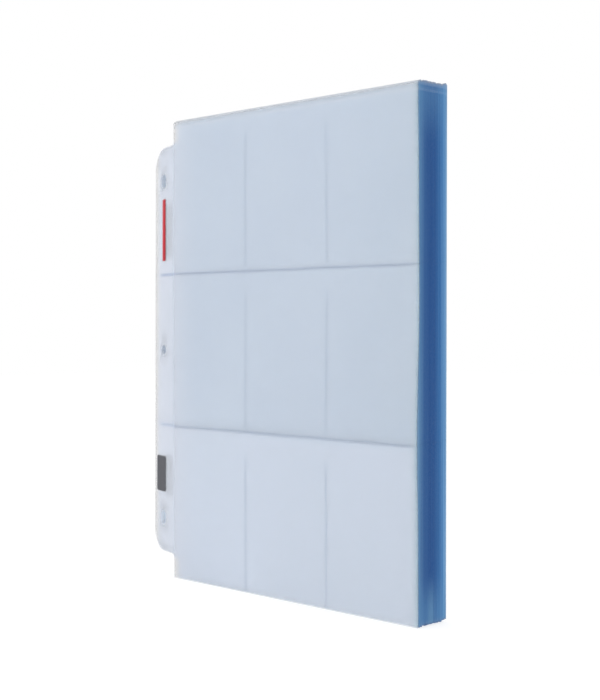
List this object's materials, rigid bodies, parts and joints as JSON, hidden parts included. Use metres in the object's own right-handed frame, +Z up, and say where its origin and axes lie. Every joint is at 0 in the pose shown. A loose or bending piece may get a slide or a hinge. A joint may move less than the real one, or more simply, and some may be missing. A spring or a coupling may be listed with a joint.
{
  "type": "block of nine-pocket trading-card pages",
  "caption": "Upright block of loose clear ring-binder pages, each a punched backing film with rows of card pockets welded to it.",
  "frame": {"origin": "middle of the block's footprint, on the surface that it stands on", "axes": "+X along the page from the binding strip to the open edge, -Y out of the front page, +Z up towards the pockets' mouths"},
  "size_m": [0.2284, 0.0242, 0.287],
  "materials": {
    "backing_film": "clear film, slightly milky where many lie together, blue at the cut edges",
    "pocket_film": "clear film, slightly milky where many lie together, blue at the cut edges"
  },
  "bodies": {
    "pages_091_100": {"page_091_sheet": "backing_film", "pages_092_099_sheets": "backing_film", "pages_091_099_pockets": "pocket_film", "page_100_backing": "backing_film", "page_100_binding_strip": "backing_film", "page_100_bottom_pockets": "pocket_film", "page_100_middle_pockets": "pocket_film", "page_100_top_pockets": "pocket_film"},
    "page_001": {"page_001_backing": "backing_film", "page_001_binding_strip": "backing_film", "page_001_bottom_pockets": "pocket_film", "page_001_middle_pockets": "pocket_film", "page_001_top_pockets": "pocket_film"},
    "page_002": {"page_002_backing": "backing_film", "page_002_binding_strip": "backing_film", "page_002_bottom_pockets": "pocket_film", "page_002_middle_pockets": "pocket_film", "page_002_top_pockets": "pocket_film"},
    "page_003": {"page_003_backing": "backing_film", "page_003_binding_strip": "backing_film", "page_003_bottom_pockets": "pocket_film", "page_003_middle_pockets": "pocket_film", "page_003_top_pockets": "pocket_film"},
    "page_004": {"page_004_backing": "backing_film", "page_004_binding_strip": "backing_film", "page_004_bottom_pockets": "pocket_film", "page_004_middle_pockets": "pocket_film", "page_004_top_pockets": "pocket_film"},
    "pages_005_010": {"page_005_sheet": "backing_film", "pages_006_010_sheets": "backing_film", "pages_005_010_pockets": "pocket_film"},
    "pages_011_020": {"page_011_sheet": "backing_film", "pages_012_020_sheets": "backing_film", "pages_011_020_pockets": "pocket_film"},
    "pages_021_030": {"page_021_sheet": "backing_film", "pages_022_030_sheets": "backing_film", "pages_021_030_pockets": "pocket_film"},
    "pages_031_040": {"page_031_sheet": "backing_film", "pages_032_040_sheets": "backing_film", "pages_031_040_pockets": "pocket_film"},
    "pages_041_050": {"page_041_sheet": "backing_film", "pages_042_050_sheets": "backing_film", "pages_041_050_pockets": "pocket_film"},
    "pages_051_060": {"page_051_sheet": "backing_film", "pages_052_060_sheets": "backing_film", "pages_051_060_pockets": "pocket_film"},
    "pages_061_070": {"page_061_sheet": "backing_film", "pages_062_070_sheets": "backing_film", "pages_061_070_pockets": "pocket_film"},
    "pages_071_080": {"page_071_sheet": "backing_film", "pages_072_080_sheets": "backing_film", "pages_071_080_pockets": "pocket_film"},
    "pages_081_090": {"page_081_sheet": "backing_film", "pages_082_090_sheets": "backing_film", "pages_081_090_pockets": "pocket_film"}
  },
  "joints": [
    {"name": "page_001_turn", "type": "hinge", "parent": "pages_091_100", "child": "page_001", "pos_m": [-0.11575, -0.00279, 0.1435], "axis": [0, 0, -1], "range_deg": [0, 170]},
    {"name": "page_002_turn", "type": "hinge", "parent": "pages_091_100", "child": "page_002", "pos_m": [-0.11575, -0.00279, 0.1435], "axis": [0, 0, -1], "range_deg": [0, 164]},
    {"name": "page_003_turn", "type": "hinge", "parent": "pages_091_100", "child": "page_003", "pos_m": [-0.11575, -0.00279, 0.1435], "axis": [0, 0, -1], "range_deg": [0, 158]},
    {"name": "page_004_turn", "type": "hinge", "parent": "pages_091_100", "child": "page_004", "pos_m": [-0.11575, -0.00279, 0.1435], "axis": [0, 0, -1], "range_deg": [0, 152]},
    {"name": "pages_005_010_turn", "type": "hinge", "parent": "pages_091_100", "child": "pages_005_010", "pos_m": [-0.11575, -0.00279, 0.1435], "axis": [0, 0, -1], "range_deg": [0, 142]},
    {"name": "pages_011_020_turn", "type": "hinge", "parent": "pages_091_100", "child": "pages_011_020", "pos_m": [-0.11575, -0.00279, 0.1435], "axis": [0, 0, -1], "range_deg": [0, 126]},
    {"name": "pages_021_030_turn", "type": "hinge", "parent": "pages_091_100", "child": "pages_021_030", "pos_m": [-0.11575, -0.00279, 0.1435], "axis": [0, 0, -1], "range_deg": [0, 111]},
    {"name": "pages_031_040_turn", "type": "hinge", "parent": "pages_091_100", "child": "pages_031_040", "pos_m": [-0.11575, -0.00279, 0.1435], "axis": [0, 0, -1], "range_deg": [0, 96]},
    {"name": "pages_041_050_turn", "type": "hinge", "parent": "pages_091_100", "child": "pages_041_050", "pos_m": [-0.11575, -0.00279, 0.1435], "axis": [0, 0, -1], "range_deg": [0, 80]},
    {"name": "pages_051_060_turn", "type": "hinge", "parent": "pages_091_100", "child": "pages_051_060", "pos_m": [-0.11575, -0.00279, 0.1435], "axis": [0, 0, -1], "range_deg": [0, 65]},
    {"name": "pages_061_070_turn", "type": "hinge", "parent": "pages_091_100", "child": "pages_061_070", "pos_m": [-0.11575, -0.00279, 0.1435], "axis": [0, 0, -1], "range_deg": [0, 49]},
    {"name": "pages_071_080_turn", "type": "hinge", "parent": "pages_091_100", "child": "pages_071_080", "pos_m": [-0.11575, -0.00279, 0.1435], "axis": [0, 0, -1], "range_deg": [0, 34]},
    {"name": "pages_081_090_turn", "type": "hinge", "parent": "pages_091_100", "child": "pages_081_090", "pos_m": [-0.11575, -0.00279, 0.1435], "axis": [0, 0, -1], "range_deg": [0, 18]}
  ],
  "couplings": [
    {"joint": "page_002_turn", "follows": "page_001_turn", "ratio": 0.96471},
    {"joint": "page_003_turn", "follows": "page_001_turn", "ratio": 0.92941},
    {"joint": "page_004_turn", "follows": "page_001_turn", "ratio": 0.89412},
    {"joint": "pages_005_010_turn", "follows": "page_001_turn", "ratio": 0.83529},
    {"joint": "pages_011_020_turn", "follows": "page_001_turn", "ratio": 0.74118},
    {"joint": "pages_021_030_turn", "follows": "page_001_turn", "ratio": 0.65294},
    {"joint": "pages_031_040_turn", "follows": "page_001_turn", "ratio": 0.56471},
    {"joint": "pages_041_050_turn", "follows": "page_001_turn", "ratio": 0.47059},
    {"joint": "pages_051_060_turn", "follows": "page_001_turn", "ratio": 0.38235},
    {"joint": "pages_061_070_turn", "follows": "page_001_turn", "ratio": 0.28824},
    {"joint": "pages_071_080_turn", "follows": "page_001_turn", "ratio": 0.2},
    {"joint": "pages_081_090_turn", "follows": "page_001_turn", "ratio": 0.10588}
  ]
}
